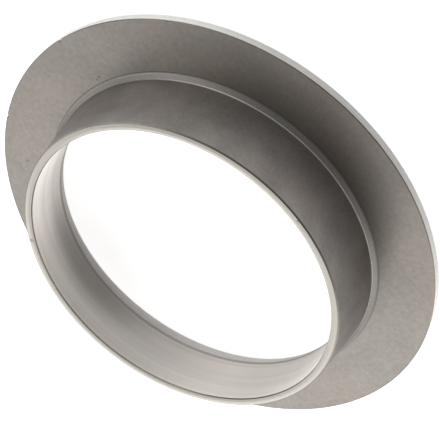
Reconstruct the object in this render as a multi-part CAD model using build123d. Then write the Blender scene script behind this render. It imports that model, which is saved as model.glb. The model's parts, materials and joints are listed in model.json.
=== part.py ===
from build123d import *
from math import radians, tan
import os

# Weld-on collar, one ring of stainless steel.
# The flat lap lies against a gasket and is held by a loose flange behind it.
# The short neck narrows towards its end, where it is butt-welded to the pipe.
# Z is the bore's axis, z = 0 is the gasket face, and the neck points to +Z.
# All sizes are in millimetres, and the taper is in degrees.

# The pipe, and the neck that meets it
pipe_diameter = 114.3
neck_wall = 2.4
neck_taper = 4.6

# The lap
lap_diameter = 160.8
plate_thickness = 3.2

# The whole collar, from the gasket face to the weld end
height = 27.2

# The bend between lap and neck: tight on the neck's side, wide at the bore's mouth
root_radius = 2.6
mouth_radius = 8.7

# Edge breaks: the rim's and the weld end's outer one are at 45 degrees, the bore's is steep
rim_chamfer = 0.3
weld_edge_chamfer = 0.45
bore_edge_width = 0.2
bore_edge_depth = 0.6

pipe_radius = pipe_diameter / 2
bore_radius = pipe_radius - neck_wall
lap_radius = lap_diameter / 2
# The weld end's face is as wide as the pipe, and the neck starts outside the edge break
neck_end_radius = pipe_radius + weld_edge_chamfer
neck_end_z = height - weld_edge_chamfer
neck_root_radius = neck_end_radius + (neck_end_z - plate_thickness) * tan(radians(neck_taper))


def corner_at(section, radius, z):
    """The corner of the section that lies nearest to a radius and a height."""
    return section.vertices().sort_by_distance((radius, 0, z))[0]


def collar_section():
    """Half of the collar's section on the XZ plane: lap and tapered neck, with the bend rounded on both sides."""
    lap = Pos(bore_radius, 0, 0) * Plane.XZ * Rectangle(
        lap_radius - bore_radius, plate_thickness, align=(Align.MIN, Align.MIN)
    )
    neck = Plane.XZ * Polygon(
        (bore_radius, 0),
        (neck_root_radius, 0),
        (neck_root_radius, plate_thickness),
        (neck_end_radius, neck_end_z),
        (pipe_radius, height),
        (bore_radius + bore_edge_width, height),
        (bore_radius, height - bore_edge_depth),
        align=None,
    )
    section = lap + neck
    section = fillet(corner_at(section, bore_radius, 0), mouth_radius)
    section = fillet(corner_at(section, neck_root_radius, plate_thickness), root_radius)
    section = chamfer(corner_at(section, lap_radius, 0), rim_chamfer)
    return chamfer(corner_at(section, lap_radius, plate_thickness), rim_chamfer)


collar = revolve(collar_section(), Axis.Z)
collar.label = "collar"

os.makedirs("parts", exist_ok=True)
export_step(collar, "parts/collar.step")
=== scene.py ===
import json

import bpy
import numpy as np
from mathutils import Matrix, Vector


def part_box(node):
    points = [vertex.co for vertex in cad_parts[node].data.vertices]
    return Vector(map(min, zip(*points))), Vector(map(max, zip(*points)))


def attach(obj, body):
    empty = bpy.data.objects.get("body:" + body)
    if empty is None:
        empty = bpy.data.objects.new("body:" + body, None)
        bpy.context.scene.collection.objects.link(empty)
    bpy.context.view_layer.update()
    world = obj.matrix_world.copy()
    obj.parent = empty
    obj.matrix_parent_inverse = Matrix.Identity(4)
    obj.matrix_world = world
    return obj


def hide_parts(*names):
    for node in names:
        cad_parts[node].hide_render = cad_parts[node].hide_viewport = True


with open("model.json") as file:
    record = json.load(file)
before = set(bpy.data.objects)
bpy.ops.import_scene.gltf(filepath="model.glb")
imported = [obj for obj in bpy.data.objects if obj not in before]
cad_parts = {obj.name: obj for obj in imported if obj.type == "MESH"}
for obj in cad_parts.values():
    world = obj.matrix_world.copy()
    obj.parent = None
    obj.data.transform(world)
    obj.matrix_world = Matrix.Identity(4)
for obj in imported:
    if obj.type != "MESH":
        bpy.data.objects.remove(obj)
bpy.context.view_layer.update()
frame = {"nodes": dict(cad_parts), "record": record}

# %% [markdown]
# A weld-on collar is one piece of stainless plate: a flat ring called the lap, a bend, and a short
# neck that gets welded to a pipe. It has no moving parts and no fasteners, so the whole picture
# depends on three things: a true section, the right finish on each surface, and a room for the
# metal to reflect. This lesson builds them in that order.

# %% [markdown]
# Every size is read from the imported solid, so the surface that is drawn here and the solid that
# holds it can't drift apart. The solid's mesh is made of rings of corners round the axis. Each ring
# has one radius and one height, so the sorted list of rings is the collar's section.

# %% The rings of the solid
solid = frame["nodes"]["collar"].data
spots = np.empty(len(solid.vertices) * 3, np.float32)
solid.vertices.foreach_get("co", spots)
spots = spots.reshape(-1, 3).astype(float)
rings = np.unique(np.round(np.column_stack([np.hypot(spots[:, 0], spots[:, 1]), spots[:, 2]]), 6), axis=0)
print("rings of corners in the solid:", len(rings))

# %% [markdown]
# The straight walls and flat faces are also mounts in the record, which gives the bore and the lap's
# thickness. The rest is picked from the rings: the weld end's face is the highest, and the neck's
# cone starts at the next ring outside it. The cone ends at the last ring that still lies on its
# line. The bend at the root starts where the lap's top face ends.

# %% Sizes, in metres
near = 0.00002
mounts = {m["name"]: m for m in frame["record"]["mounts"]}
low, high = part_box("collar")
lap_radius = high[0]
height = high[2]
plate = mounts["lap_seat"]["pos_m"][2]
bore_radius = mounts["bore"]["dims"]["r_mm"] / 1000
bore_half = mounts["bore"]["dims"]["length_mm"] / 2000
bore_low = mounts["bore"]["pos_m"][2] - bore_half
bore_high = mounts["bore"]["pos_m"][2] + bore_half

weld_face = rings[rings[:, 1] > height - near]
face_inner, face_outer = weld_face[:, 0].min(), weld_face[:, 0].max()
neck_rings = rings[(rings[:, 0] > face_outer + near) & (rings[:, 1] > plate + near)]
neck_rings = neck_rings[neck_rings[:, 1].argsort()[::-1]]
neck_high, neck_next = neck_rings[:2]
neck_slope = (neck_next[0] - neck_high[0]) / (neck_high[1] - neck_next[1])
cone = neck_high[0] + neck_slope * (neck_high[1] - neck_rings[:, 1])
neck_low = neck_rings[np.abs(neck_rings[:, 0] - cone) < near / 2][-1]
lap_top = rings[np.abs(rings[:, 1] - plate) < near]
root_foot = lap_top[:, 0].min()
rim_chamfer = lap_radius - lap_top[:, 0].max()
mouth_foot = rings[rings[:, 1] < near][:, 0].min()
print("bore radius", round(bore_radius, 5), "neck from", neck_low, "to", neck_high)
print("root starts at", root_foot, "mouth starts at", mouth_foot, "rim chamfer", round(rim_chamfer, 5))

# %% [markdown]
# The mouth is a quarter round from the gasket face to the bore, so its centre is one radius away
# from both. The root is narrower. Looked at closely it isn't round: it is a short slope between two
# tight bends, and each bend shows as one thin bright line. So it is drawn as that slope, which lies
# within half a millimetre of the solid's own round.

# %% The mouth's centre
mouth_radius = bore_low
mouth_centre = (bore_radius + mouth_radius, mouth_radius)
print("mouth radius", mouth_radius, "root round", round(float(root_foot - neck_low[0]), 5))

# %% [markdown]
# The collar is a body of revolution, so its shape is one closed outline in the plane of radius and
# height, carried round the axis. The outline is made of straight runs and two arcs. Each piece of it
# is sampled as finely as its curvature needs: a flat face needs few rows, and the two bends need
# many, because a reflection slides quickly over them and shows every facet.


# %% The outline's kinds of stretch
def straight(start, end, rows):
    """Points on a line: start plus an even share of the way to end. The end itself is left out."""
    share = np.linspace(0, 1, rows, endpoint=False)[:, None]
    return np.array(start) * (1 - share) + np.array(end) * share


def arc(centre, radius, first, last, rows):
    """Points on a circle arc: centre plus radius times (cosine, sine) of an evenly turned angle."""
    turn = np.radians(np.linspace(first, last, rows, endpoint=False))
    return np.array(centre) + radius * np.stack([np.cos(turn), np.sin(turn)], 1)


def eased(before, corner, after, reach, rows):
    """Points round a corner: a parabola that starts and ends at reach from it, on its two sides."""
    before, corner, after = (np.array(point) for point in (before, corner, after))
    start = corner + (before - corner) * reach / np.linalg.norm(before - corner)
    end = corner + (after - corner) * reach / np.linalg.norm(after - corner)
    t = np.linspace(0, 1, rows, endpoint=False)[:, None]
    return (1 - t) ** 2 * start + 2 * t * (1 - t) * corner + t**2 * end


# %% [markdown]
# The outline starts at the inner edge of the gasket face and goes outwards, round the rim, back
# over the lap, up the neck, over the weld end, down the bore and round the mouth. The metal is
# always on its left, so that the faces made from it point outwards. The name of each stretch is
# kept with its rows, because each one gets its own finish later. Where a fine line or a nick comes,
# the rows lie closer together. The weld end isn't quite flat: it falls a few hundredths of a
# millimetre to each side of a crest, so a light and a greyer strip run side by side round it.

# %% The collar's outline
rim_top = plate - rim_chamfer
rim_foot = lap_radius - rim_chamfer
groove_radius = 0.0775
groove_half = 0.0008
foot_reach = 0.0005
line_reach = 0.0003
slope_rise = 0.0016
slope_run = 0.0016
neck_run = (neck_high - neck_low) / np.linalg.norm(neck_high - neck_low)
slope_top = neck_low - neck_run * (neck_low[1] - plate - slope_rise) / neck_run[1]
slope_foot = np.array([slope_top[0] + slope_run, plate])
root_run = (slope_top - slope_foot) / np.linalg.norm(slope_top - slope_foot)
crest_radius = face_inner + 0.45 * (face_outer - face_inner)
outer_fall = 0.00004
inner_fall = 0.00011
stretches = [
    ("gasket_face", straight((mouth_foot, 0), (rim_foot, 0), 8)),
    ("rim_edge", straight((rim_foot, 0), (lap_radius, rim_chamfer), 2)),
    ("rim", straight((lap_radius, rim_chamfer), (lap_radius, rim_top), 4)),
    ("rim_edge", straight((lap_radius, rim_top), (rim_foot, plate), 2)),
    ("lap_margin", straight((rim_foot, plate), (rim_foot - 0.0008, plate), 3)),
    ("lap_face", straight((rim_foot - 0.0008, plate), (groove_radius + groove_half, plate), 2)),
    ("lap_face", straight((groove_radius + groove_half, plate), (groove_radius - groove_half, plate), 8)),
    ("lap_face", straight((groove_radius - groove_half, plate), (slope_foot[0] + foot_reach, plate), 9)),
    ("foot_line", eased((lap_radius, plate), slope_foot, slope_top, foot_reach, 7)),
    ("root", straight(slope_foot + root_run * foot_reach, slope_top - root_run * line_reach, 8)),
    ("neck_line", eased(slope_foot, slope_top, neck_high, line_reach, 7)),
    ("neck", straight(slope_top + neck_run * line_reach, neck_high, 13)),
    ("weld_edge", straight(neck_high, (face_outer, height - outer_fall), 2)),
    ("weld_end", straight((face_outer, height - outer_fall), (crest_radius, height), 3)),
    ("weld_bevel", straight((crest_radius, height), (face_inner, height - inner_fall), 3)),
    ("bore_edge", straight((face_inner, height - inner_fall), (bore_radius, bore_high), 2)),
    ("bore", straight((bore_radius, bore_high), (bore_radius, bore_low), 12)),
    ("mouth_line", arc(mouth_centre, mouth_radius, 180, 188, 5)),
    ("mouth", arc(mouth_centre, mouth_radius, 188, 270, 27)),
]
outline = np.concatenate([points for _, points in stretches])
row_names = np.concatenate([[name] * len(points) for name, points in stretches])
print("rows in the outline:", len(outline))

# %% [markdown]
# A faint groove near the edge of the lap shows where the clamp held the plate. It could be painted,
# but a real hollow catches the light from every side, as the real one does.

# %% The clamp's groove
def swell(points, middle, half_width, rise):
    """Moves points off the outline by rise times cos squared, which falls to nothing at half_width."""
    along = np.roll(points, -1, 0) - np.roll(points, 1, 0)
    outward = np.stack([along[:, 1], -along[:, 0]], 1) / np.linalg.norm(along, axis=1)[:, None]
    reach = np.clip(np.linalg.norm(points - middle, axis=1) / half_width, 0, 1)
    return points + outward * (rise * np.cos(reach * np.pi / 2) ** 2)[:, None]


outline = swell(outline, np.array([groove_radius, plate]), groove_half, -0.000012)
print("groove at radius", groove_radius)

# %% [markdown]
# Two ways could carry the outline round: Blender's Screw modifier, or a grid worked out at once
# with arrays. The grid is chosen because every corner then has a known row and a known turn, which
# makes it easy to give each row its finish and to keep the edges crisp.

# %% Carrying the outline round the axis
def revolve(points, turn):
    """Corner (row i, turn j) is (radius_i cos t_j, radius_i sin t_j, height_i)."""
    x = points[:, :1] * np.cos(turn)
    y = points[:, :1] * np.sin(turn)
    z = np.repeat(points[:, 1:], len(turn), 1)
    return np.stack([x, y, z], -1)


def grid_faces(rows, count):
    """Four corners of each cell of a grid that is closed both ways, as numbers of corners."""
    i, j = np.meshgrid(np.arange(rows), np.arange(count), indexing="ij")
    i_next = (i + 1) % rows
    j_next = (j + 1) % count
    quads = [i * count + j, i * count + j_next, i_next * count + j_next, i_next * count + j]
    return np.stack(quads, -1).reshape(-1, 4)


# %% [markdown]
# The collar has been handled: four small nicks sit on its edges, three round the lap and one on the
# weld end. Each one is a dent a few tenths of a millimetre deep. The turns lie closer together
# there, because an even spacing fine enough for a nick would make the mesh several times larger.

# %% Where the nicks are
nicks = [
    # radius, azimuth in degrees, height, half width, depth
    (lap_radius, 339.6, plate, 0.0011, 0.00050),
    (lap_radius, 12.4, plate, 0.0010, 0.00040),
    (lap_radius, 307.4, plate, 0.0009, 0.00030),
    (face_outer, 249.5, height, 0.0007, 0.00018),
]
even_turns = np.arange(600) * 2 * np.pi / 600
close_turns = [np.radians(nick[1]) + np.linspace(-0.0012, 0.0012, 13) / nick[0] for nick in nicks]
turns = np.unique(np.round(np.concatenate([even_turns, *close_turns]) % (2 * np.pi), 6))
around = len(turns)
corners = revolve(outline, turns)
faces = grid_faces(len(outline), around)
print("corners", corners.shape, "faces", len(faces))


# %% Pressing the nicks in
def press(points, nick):
    """Moves points towards the axis and down, by depth times one less the squared distance, squared."""
    radius, azimuth, level, half_width, depth = nick
    turn = np.radians(azimuth)
    spot = np.array([radius * np.cos(turn), radius * np.sin(turn), level])
    reach = np.clip(np.linalg.norm(points - spot, axis=-1) / half_width, 0, 1)
    inward = np.array([-np.cos(turn), -np.sin(turn), -0.8])
    return points + inward * (depth * (1 - reach**2) ** 2)[..., None]


for nick in nicks:
    corners = press(corners, nick)
print("deepest nick, mm:", max(nick[4] for nick in nicks) * 1000)


# %% Making the mesh
def make_mesh(name, points, quads):
    """A mesh object at the origin from an array of points and an array of four-cornered faces."""
    mesh = bpy.data.meshes.new(name)
    mesh.from_pydata(points.reshape(-1, 3).tolist(), [], quads.tolist())
    mesh.update()
    thing = bpy.data.objects.new(name, mesh)
    bpy.context.scene.collection.objects.link(thing)
    return thing


collar = make_mesh("collar_body", corners, faces)
collar.data.shade_smooth()

# %% [markdown]
# Smooth shading would melt the small chamfers into their neighbours. Marking the rings between two
# different stretches as sharp keeps them crisp. The rings where a bend runs into a flat face are
# left smooth, because plate has no edge there.

# %% Sharp rings
sharp_starts = {"rim_edge", "rim", "lap_margin", "weld_edge", "weld_end", "weld_bevel", "bore_edge", "bore"}
starts = np.flatnonzero(row_names != np.roll(row_names, 1))
sharp_rows = [row for row in starts if row_names[row] in sharp_starts]
sharp_row = np.zeros(len(outline), bool)
sharp_row[sharp_rows] = True

edge_ends = np.empty(len(collar.data.edges) * 2, np.int64)
collar.data.edges.foreach_get("vertices", edge_ends)
edge_rows = edge_ends.reshape(-1, 2) // around
along_ring = edge_rows[:, 0] == edge_rows[:, 1]
sharp = along_ring & sharp_row[edge_rows[:, 0]]
mark = collar.data.attributes.new("sharp_edge", "BOOLEAN", "EDGE")
mark.data.foreach_set("value", sharp)
print("sharp rings:", [str(row_names[row]) for row in sharp_rows])

# %% [markdown]
# On the real collar each surface has its own history. The plate was rolled and pickled, so the lap
# and the neck are matt and finely mottled. The bend was drawn over a ring and is smoother; its colour
# is also painted darker, as painted shade in the crease between lap and neck. The rim and the weld end
# were turned on a lathe, which leaves bright metal with fine lines round the axis. The bore was rubbed
# clean and is lighter than the outside. One material can't say all that, so each stretch of the outline
# gets its own. They share four effects and one patch of painted shade, and each one is a node group.

# %% A short way to place nodes
def place(tree, kind, settings=None, **inputs):
    """Adds a node. A socket name with spaces is written with underscores; a socket is linked, a value is set."""
    node = tree.nodes.new(kind)
    for name, value in (settings or {}).items():
        setattr(node, name, value)
    for name, value in inputs.items():
        key = int(name[1:]) if name[0] == "_" else name.replace("_", " ")
        if isinstance(value, bpy.types.NodeSocket):
            tree.links.new(value, node.inputs[key])
        else:
            node.inputs[key].default_value = value
    return node


def math(tree, operation, first, second=0.0):
    """One sum, product or other step between two values or sockets."""
    return place(tree, "ShaderNodeMath", {"operation": operation}, _0=first, _1=second).outputs[0]


def remap(tree, value, low_in, high_in, low_out, high_out):
    """A value moved from one range to another, held inside the second one."""
    node = place(tree, "ShaderNodeMapRange", None, _0=value, _1=low_in, _2=high_in, _3=low_out, _4=high_out)
    return node.outputs[0]


def new_group(name, inputs, outputs):
    """An empty shader node group with its sockets, and the nodes that stand for them."""
    group = bpy.data.node_groups.new(name, "ShaderNodeTree")
    for label, kind, start in inputs:
        socket = group.interface.new_socket(label, in_out="INPUT", socket_type="NodeSocket" + kind)
        if start is not None:
            socket.default_value = start
    for label, kind in outputs:
        group.interface.new_socket(label, in_out="OUTPUT", socket_type="NodeSocket" + kind)
    ins = group.nodes.new("NodeGroupInput").outputs
    outs = group.nodes.new("NodeGroupOutput").inputs
    return group, ins, outs


# %% [markdown]
# Pickled plate is never one even grey. The acid eats the grain boundaries, which gives a mottle
# about a millimetre wide, and it drains unevenly, which gives soft clouds as wide as a thumb. Two
# noises of very different size, added together, say both.

# %% The mottle of pickled plate
mottle, ins, outs = new_group(
    "Pickled Mottle",
    [("Position", "Vector", None), ("Grain Size", "Float", 0.001), ("Cloud Size", "Float", 0.02),
     ("Cloud Share", "Float", 0.4)],
    [("Shade", "Float"), ("Height", "Float")],
)
grain_scale = math(mottle, "DIVIDE", 1.0, ins["Grain Size"])
cloud_scale = math(mottle, "DIVIDE", 1.0, ins["Cloud Size"])
grain = place(mottle, "ShaderNodeTexNoise", None, Vector=ins["Position"], Scale=grain_scale, Detail=3.0).outputs[0]
clouds = place(mottle, "ShaderNodeTexNoise", None, Vector=ins["Position"], Scale=cloud_scale, Detail=2.0).outputs[0]
wide_grain = remap(mottle, grain, 0.3, 0.7, 0.0, 1.0)
wide_clouds = remap(mottle, clouds, 0.3, 0.7, 0.0, 1.0)
grain_part = math(mottle, "MULTIPLY", wide_grain, math(mottle, "SUBTRACT", 1.0, ins["Cloud Share"]))
cloud_part = math(mottle, "MULTIPLY", wide_clouds, ins["Cloud Share"])
mottle.links.new(math(mottle, "ADD", grain_part, cloud_part), outs["Shade"])
mottle.links.new(wide_grain, outs["Height"])
print("group", mottle.name, "with", len(mottle.nodes), "nodes")

# %% [markdown]
# A lathe tool leaves rings: the pattern changes quickly across the cut and hardly at all round the
# axis. The noise therefore reads radius and height at full scale, but only a little of the turn.

# %% Turned lines
turned, ins, outs = new_group(
    "Turned Lines",
    [("Position", "Vector", None), ("Line Spacing", "Float", 0.0004)],
    [("Lines", "Float")],
)
axes = place(turned, "ShaderNodeSeparateXYZ", None, Vector=ins["Position"]).outputs
flat = place(turned, "ShaderNodeCombineXYZ", None, X=axes["X"], Y=axes["Y"]).outputs[0]
radius = place(turned, "ShaderNodeVectorMath", {"operation": "LENGTH"}, _0=flat).outputs["Value"]
line_scale = math(turned, "DIVIDE", 1.0, ins["Line Spacing"])
drift = math(turned, "MULTIPLY", axes["X"], 12.0)
ring_place = place(
    turned, "ShaderNodeCombineXYZ", None,
    X=math(turned, "MULTIPLY", radius, line_scale), Y=drift, Z=math(turned, "MULTIPLY", axes["Z"], line_scale),
).outputs[0]
ring_noise = place(turned, "ShaderNodeTexNoise", None, Vector=ring_place, Scale=1.0, Detail=1.0).outputs[0]
turned.links.new(remap(turned, ring_noise, 0.3, 0.7, 0.0, 1.0), outs["Lines"])
print("group", turned.name, "with", len(turned.nodes), "nodes")

# %% [markdown]
# Stainless plate isn't neutral: some patches lean to a warm straw grey and others to a cool green
# grey. The shift is small, but without it the metal looks like a grey plastic.

# %% Warm and cool patches
tint, ins, outs = new_group(
    "Warm And Cool",
    [("Position", "Vector", None), ("Warm", "Color", (0.5, 0.5, 0.5, 1)), ("Cool", "Color", (0.5, 0.5, 0.5, 1)),
     ("Patch Size", "Float", 0.03), ("Shade", "Float", 0.5), ("Depth", "Float", 0.2)],
    [("Color", "Color")],
)
patch_scale = math(tint, "DIVIDE", 1.0, ins["Patch Size"])
patches = place(tint, "ShaderNodeTexNoise", None, Vector=ins["Position"], Scale=patch_scale, Detail=1.0).outputs[0]
hue = place(
    tint, "ShaderNodeMix", {"data_type": "RGBA"}, _0=remap(tint, patches, 0.35, 0.65, 0.0, 1.0),
    _6=ins["Warm"], _7=ins["Cool"],
).outputs[2]
around_one = math(tint, "MULTIPLY", math(tint, "SUBTRACT", ins["Shade"], 0.5), ins["Depth"])
level = math(tint, "ADD", 1.0, around_one)
shaded = place(tint, "ShaderNodeVectorMath", {"operation": "SCALE"}, _0=hue, Scale=level).outputs[0]
tint.links.new(shaded, outs["Color"])
print("group", tint.name, "with", len(tint.nodes), "nodes")

# %% [markdown]
# A few dark specks sit on the collar, as they do on any plate that has lain in a yard. Each one is a
# ball round a fixed spot in the object, so it can't slide when the collar is seen from elsewhere.

# %% Specks
specks = [
    # radius, azimuth in degrees, height, half width
    (0.0710, 24.6, plate, 0.0006),
    (0.0634, 336.2, plate, 0.0005),
    (0.0630, 337.4, plate, 0.0005),
    (0.0605, 274.5, plate + 0.0004, 0.0004),
    (0.0563, 36.1, height, 0.0010),
    (lap_radius - 0.0004, 339.6, plate, 0.0008),
    (lap_radius - 0.0004, 12.4, plate, 0.0007),
    (lap_radius - 0.0003, 307.4, plate, 0.0006),
]
specked, ins, outs = new_group("Specks", [("Position", "Vector", None)], [("Mask", "Float")])
mask = 0.0
for radius, azimuth, level, half_width in specks:
    turn = np.radians(azimuth)
    spot = (radius * np.cos(turn), radius * np.sin(turn), level)
    apart = place(specked, "ShaderNodeVectorMath", {"operation": "DISTANCE"}, _0=ins["Position"], _1=spot).outputs["Value"]
    mask = math(specked, "MAXIMUM", mask, remap(specked, apart, half_width * 0.4, half_width, 1.0, 0.0))
specked.links.new(mask, outs["Mask"])
print("group", specked.name, "with", len(specks), "specks")

# %% [markdown]
# Deep in the bore, on one side, the metal's colour is darker than round it. That is painted shade: it
# stands for the shadowed table that this side of the bore and the mouth reflect. That patch is long
# round the bore and short along it. Its edge is soft.

# %% The painted shade in the bore
dull_turn = np.radians(62)
dull_middle = (bore_radius * np.cos(dull_turn), bore_radius * np.sin(dull_turn), 0.0110)
dull_reach = (0.036, 0.036, 0.010)
dulled_bore, ins, outs = new_group("Bore Painted Shade", [("Position", "Vector", None)], [("Mask", "Float")])
away = place(dulled_bore, "ShaderNodeVectorMath", {"operation": "SUBTRACT"}, _0=ins["Position"], _1=dull_middle).outputs[0]
away = place(dulled_bore, "ShaderNodeVectorMath", {"operation": "DIVIDE"}, _0=away, _1=dull_reach).outputs[0]
away = place(dulled_bore, "ShaderNodeVectorMath", {"operation": "LENGTH"}, _0=away).outputs["Value"]
soft = place(
    dulled_bore, "ShaderNodeMapRange", {"interpolation_type": "SMOOTHSTEP"},
    Value=away, From_Min=0.2, From_Max=1.1, To_Min=1.0, To_Max=0.0,
).outputs["Result"]
dulled_bore.links.new(soft, outs["Mask"])
print("group", dulled_bore.name, "at", [round(float(v), 4) for v in dull_middle])

# %% [markdown]
# Every finish is then the same short recipe: a position, one of the patterns, a colour that the
# pattern darkens and lightens, a roughness that it shifts a little, and a bump of a few hundredths
# of a millimetre. Only the numbers differ, so one function builds all of them. Surfaces that were
# turned or rubbed round the axis spread a reflection along the axis, and not round it. That is what
# brushed says: the tangent runs round the axis, and the quarter turn puts the rough way across it.

# %% Building a finish
def finish(name, warm, cool, roughness, depth, bump, grain=0.001, clouds=0.02, cloud_share=0.4, lines=None, brushed=0.0, rub=(1.0, 1.0), dull=0.0):
    """A metal of its own colour pair, roughness and pattern. lines is the spacing of turned rings, in metres.

    The pair of brightnesses is painted shade and light: the metal's colour is that bright at the lap's
    height and at the weld end. The last number is how much of its brightness the patch of painted
    shade in the bore takes away.
    """
    material = bpy.data.materials.new(name)
    material.use_nodes = True
    tree = material.node_tree
    shader = tree.nodes["Principled BSDF"]
    shader.inputs["Metallic"].default_value = 1.0
    if brushed:
        shader.inputs["Anisotropic"].default_value = brushed
        shader.inputs["Anisotropic Rotation"].default_value = 0.25
        tangent = place(tree, "ShaderNodeTangent", {"direction_type": "RADIAL", "axis": "Z"}).outputs[0]
        tree.links.new(tangent, shader.inputs["Tangent"])
    spot = tree.nodes.new("ShaderNodeTexCoord").outputs["Object"]
    pattern = place(
        tree, "ShaderNodeGroup", {"node_tree": mottle},
        Position=spot, Grain_Size=grain, Cloud_Size=clouds, Cloud_Share=cloud_share,
    ).outputs
    shade, relief = pattern["Shade"], pattern["Height"]
    if lines:
        rings = place(tree, "ShaderNodeGroup", {"node_tree": turned}, Position=spot, Line_Spacing=lines).outputs[0]
        shade = math(tree, "ADD", math(tree, "MULTIPLY", shade, 0.4), math(tree, "MULTIPLY", rings, 0.6))
        relief = rings
    dirt = place(tree, "ShaderNodeGroup", {"node_tree": specked}, Position=spot).outputs[0]
    clean = math(tree, "SUBTRACT", 1.0, math(tree, "MULTIPLY", dirt, 0.45))
    level = place(tree, "ShaderNodeSeparateXYZ", None, Vector=spot).outputs["Z"]
    # Painted shade and light: the colour is scaled from one brightness at the lap's height to another at the weld end.
    clean = math(tree, "MULTIPLY", clean, remap(tree, level, plate, height, *rub))
    # Painted shade: the patch in the bore takes part of the brightness away.
    if dull:
        patch = place(tree, "ShaderNodeGroup", {"node_tree": dulled_bore}, Position=spot).outputs[0]
        clean = math(tree, "MULTIPLY", clean, math(tree, "SUBTRACT", 1.0, math(tree, "MULTIPLY", patch, dull)))
    colour = place(
        tree, "ShaderNodeGroup", {"node_tree": tint},
        Position=spot, Warm=(*warm, 1), Cool=(*cool, 1), Shade=shade, Depth=depth,
    ).outputs[0]
    dulled = place(tree, "ShaderNodeVectorMath", {"operation": "SCALE"}, _0=colour, Scale=clean).outputs[0]
    tree.links.new(dulled, shader.inputs["Base Color"])
    tree.links.new(remap(tree, shade, 0.0, 1.0, roughness + 0.04, roughness - 0.04), shader.inputs["Roughness"])
    bumped = place(tree, "ShaderNodeBump", None, Height=relief, Distance=bump, Strength=1.0)
    tree.links.new(bumped.outputs[0], shader.inputs["Normal"])
    return material


# %% [markdown]
# Each stretch of the outline is given its finish by name.

# %% The finishes
finishes = {
    "pickled_lap": finish("pickled_lap", (0.39, 0.35, 0.315), (0.37, 0.345, 0.315), 0.42, 0.24, 0.000010, grain=0.0013),
    # The root's colour is darker than both the lap's and the neck's: painted shade in the crease between them.
    "shaded_root": finish("shaded_root", (0.23, 0.210, 0.193), (0.22, 0.210, 0.193), 0.45, 0.14, 0.000004),
    "burnished_line": finish("burnished_line", (0.35, 0.325, 0.30), (0.34, 0.322, 0.30), 0.38, 0.06, 0.000002),
    # The neck's colour is painted darker at its foot and lighter at the weld end: painted shade near the root.
    "drawn_neck": finish(
        "drawn_neck", (0.308, 0.281, 0.262), (0.296, 0.279, 0.262), 0.42, 0.42, 0.000006, clouds=0.012, cloud_share=0.65, rub=(0.80, 1.14)
    ),
    "turned_rim": finish("turned_rim", (0.94, 0.92, 0.885), (0.92, 0.915, 0.885), 0.72, 0.24, 0.000006, lines=0.00035, brushed=0.9),
    "turned_end": finish("turned_end", (0.60, 0.56, 0.51), (0.585, 0.56, 0.51), 0.36, 0.14, 0.000006, lines=0.00035),
    # The chamfers on the edges are painted dark: a thin line of painted shade round the rim, the weld end and the
    # bore's edge.
    "shaded_edge": finish("shaded_edge", (0.25, 0.212, 0.178), (0.23, 0.212, 0.182), 0.40, 0.16, 0.000005),
    # The bore's colour is painted darker towards the mouth and lighter at the weld end, and darker again in the patch
    # of painted shade.
    "rubbed_bore": finish(
        "rubbed_bore", (0.885, 0.838, 0.795), (0.872, 0.838, 0.795), 0.72, 0.15, 0.000004,
        clouds=0.014, cloud_share=0.6, lines=0.0016, brushed=0.9, rub=(0.94, 1.07), dull=0.38,
    ),
    # The start of the mouth is painted darker than the rest of the bend: painted shade where the bend begins. Both
    # mouth finishes also take the painted shade of the bore's patch.
    "mouth_start_shade": finish("mouth_start_shade", (0.52, 0.485, 0.455), (0.505, 0.485, 0.455), 0.60, 0.10, 0.000004, brushed=0.8, dull=0.25),
    "rounded_mouth": finish(
        "rounded_mouth", (0.76, 0.735, 0.715), (0.745, 0.735, 0.72), 0.60, 0.14, 0.000004, brushed=0.8, dull=0.20
    ),
}
worn_by = {
    "gasket_face": "pickled_lap", "rim_edge": "shaded_edge", "rim": "turned_rim", "lap_margin": "pickled_lap",
    "lap_face": "pickled_lap", "foot_line": "shaded_root", "root": "shaded_root", "neck_line": "burnished_line",
    "neck": "drawn_neck", "weld_edge": "shaded_edge", "weld_end": "turned_end", "weld_bevel": "turned_end",
    "bore_edge": "shaded_edge",
    "bore": "rubbed_bore", "mouth_line": "mouth_start_shade", "mouth": "rounded_mouth",
}
for material in finishes.values():
    collar.data.materials.append(material)
order = list(finishes)
row_finish = np.array([order.index(worn_by[name]) for name in row_names])
collar.data.polygons.foreach_set("material_index", np.repeat(row_finish, around))
collar.data.update()
print("faces in each finish:", dict(zip(order, np.bincount(np.repeat(row_finish, around)).tolist())))

# %% [markdown]
# The collar rests on a plain white table. Its paint is a pale diffuse one, so it takes the collar's
# soft shadow. Rays from the camera and from reflections see it with some light of its own on top, as
# on a light table, which brings it up to white without putting more light on the metal.

# %% The floor
floor_drop = 0.00005
floor_radius = 6.0
floor_mesh = bpy.data.meshes.new("floor")
rim_turns = np.linspace(0, 2 * np.pi, 96, endpoint=False)
floor_rim = np.stack([floor_radius * np.cos(rim_turns), floor_radius * np.sin(rim_turns)], 1)
floor_points = np.column_stack([floor_rim, np.full(len(rim_turns), -floor_drop)])
floor_mesh.from_pydata(floor_points.tolist(), [], [list(range(len(rim_turns)))])
floor = bpy.data.objects.new("floor", floor_mesh)
bpy.context.scene.collection.objects.link(floor)

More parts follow.
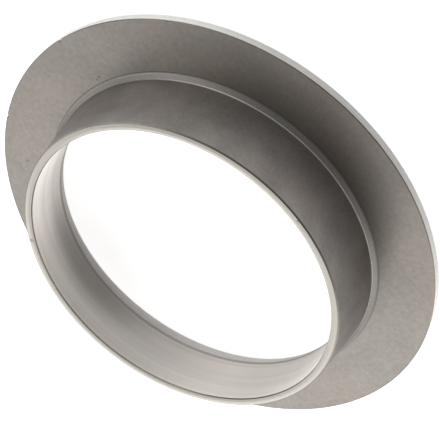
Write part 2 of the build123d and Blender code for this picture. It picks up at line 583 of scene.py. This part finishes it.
floor_paint = bpy.data.materials.new("floor_paint")
floor_paint.use_nodes = True
tree = floor_paint.node_tree
tree.nodes.clear()
paint = place(tree, "ShaderNodeBsdfDiffuse", None, Color=(0.9, 0.9, 0.9, 1))
rays = tree.nodes.new("ShaderNodeLightPath").outputs
camera_lift = 0.74
mirror_lift = 0.18
shadow_reach = 0.25
far_reach = 1.5
spot = tree.nodes.new("ShaderNodeTexCoord").outputs["Object"]
away = place(tree, "ShaderNodeVectorMath", {"operation": "LENGTH"}, _0=spot).outputs["Value"]
near_lift = remap(tree, away, shadow_reach, far_reach, camera_lift, 1.0)
seen = math(tree, "MULTIPLY", rays["Is Camera Ray"], near_lift)
mirrored = math(tree, "MAXIMUM", rays["Is Glossy Ray"], rays["Is Transmission Ray"])
lift = math(tree, "MAXIMUM", seen, math(tree, "MULTIPLY", mirrored, mirror_lift))
glow = place(tree, "ShaderNodeEmission", None, Color=(1, 1, 1, 1), Strength=lift)
both = place(tree, "ShaderNodeAddShader", None, _0=paint.outputs[0], _1=glow.outputs[0])
place(tree, "ShaderNodeOutputMaterial", None, Surface=both.outputs[0])
floor.data.materials.append(floor_paint)
print("floor radius", floor_radius)

# %% [markdown]
# Metal shows the room more than it shows its own colour. Large soft boxes light the collar, each
# aimed at it. A box's power is worked out from the brightness that its face should have.

# %% A soft box
def aim(thing, place_at, target):
    """Puts a lamp at a point and turns its face, which is its local -Z, to the target."""
    back = (place_at - target).normalized()
    thing.matrix_world = Matrix.Translation(place_at) @ back.to_track_quat("Z", "Y").to_matrix().to_4x4()


def panel(name, azimuth, elevation, width, rise, brightness):
    """A soft box 1.2 m away. Its power in watts is brightness times pi times its area."""
    light = bpy.data.lights.new(name, "AREA")
    light.shape = "RECTANGLE"
    light.size = width
    light.size_y = rise
    light.energy = brightness * np.pi * width * rise
    lamp = bpy.data.objects.new(name, light)
    bpy.context.scene.collection.objects.link(lamp)
    turn, lift = np.radians([azimuth, elevation])
    place_at = Vector((np.cos(turn) * np.cos(lift), np.sin(turn) * np.cos(lift), np.sin(lift))) * 1.2
    aim(lamp, place_at, Vector((0, 0, height / 2)))
    lamp.visible_camera = False
    return lamp


# %% [markdown]
# The collar stands in a ring of low soft boxes. The ones behind it and beside it are bright and the
# ones on the camera's side are dim. That gives the dark side of the bore, together with the painted
# shade there, the dark patch on the lap next to the neck and the bright flanks of the rim their places.

# %% The ring of low boxes
low_ring = {0: 0.3, 40: 2.05, 80: 1.2, 120: 2.1, 160: 2.45, 200: 1.15, 240: 0.7, 280: 0.95, 320: 1.85}
for azimuth, brightness in low_ring.items():
    panel(f"low_box_{azimuth}", azimuth, 16, 0.85, 0.55, brightness)

# %% The higher boxes
for azimuth, brightness in {0: 1.75, 60: 0.4, 120: 0.92}.items():
    panel(f"high_box_{azimuth}", azimuth, 45, 0.85, 0.6, brightness)
for azimuth, brightness in {0: 1.3, 80: 1.6, 120: 1.3}.items():
    panel(f"strip_{azimuth}", azimuth, 32, 0.6, 0.25, brightness)
panel("top_box", 90, 72, 0.7, 0.5, 0.6)
panel("back_box", 270, 66, 0.9, 0.5, 0.4)

# %% The sky
sky = bpy.data.worlds.new("sky")
bpy.context.scene.world = sky
sky.use_nodes = True
tree = sky.node_tree
tree.nodes.clear()
rays = tree.nodes.new("ShaderNodeLightPath").outputs
room_light = place(tree, "ShaderNodeBackground", None, Color=(1, 1, 1, 1), Strength=0.05)
white = place(tree, "ShaderNodeBackground", None, Color=(1, 1, 1, 1), Strength=1.0)
both = place(
    tree, "ShaderNodeMixShader", None, _0=rays["Is Camera Ray"], _1=room_light.outputs[0], _2=white.outputs[0],
)
place(tree, "ShaderNodeOutputWorld", None, Surface=both.outputs[0])

# %% [markdown]
# The camera's place was worked out from the photograph: the ellipses of the rim, the weld end and
# the mouth all have to fall in their places at once, and that fixes its distance, its tilt against
# the collar's axis and the way the axis leans in the picture.

# %% The camera
frame_pixels = 440
focal_pixels = 1689.1
axis_tilt = np.radians(47.514)
axis_lean = np.radians(127.399)
camera_distance = 0.56802
offset_pixels = np.array([-6.292, 2.442])

axis_seen = np.array([
    np.sin(axis_tilt) * np.cos(axis_lean), np.sin(axis_tilt) * np.sin(axis_lean), -np.cos(axis_tilt),
])
x_seen = np.array([-np.sin(axis_lean), np.cos(axis_lean), 0.0])
y_seen = np.cross(axis_seen, x_seen)
turn_to_camera = np.stack([x_seen, y_seen, axis_seen], 1)
axis_spot = np.append(offset_pixels / focal_pixels, 1.0) * camera_distance
camera_place = -turn_to_camera.T @ axis_spot
right, down, away = turn_to_camera
pose = np.eye(4)
pose[:3, :3] = np.stack([right, -down, -away], 1)
pose[:3, 3] = camera_place

camera_data = bpy.data.cameras.new("camera")
camera_data.sensor_width = 36.0
camera_data.lens = focal_pixels / frame_pixels * camera_data.sensor_width
camera = bpy.data.objects.new("camera", camera_data)
bpy.context.scene.collection.objects.link(camera)
camera.matrix_world = Matrix(pose.tolist())
bpy.context.scene.camera = camera
bpy.context.scene.view_settings.view_transform = "Standard"
print("camera at", np.round(camera_place, 4), "lens", round(camera_data.lens, 1))

# %% [markdown]
# The drawn collar rides on the one body and stands for the solid, which stays as it was packed.

# %% Handing over
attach(collar, "root")
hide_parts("collar")
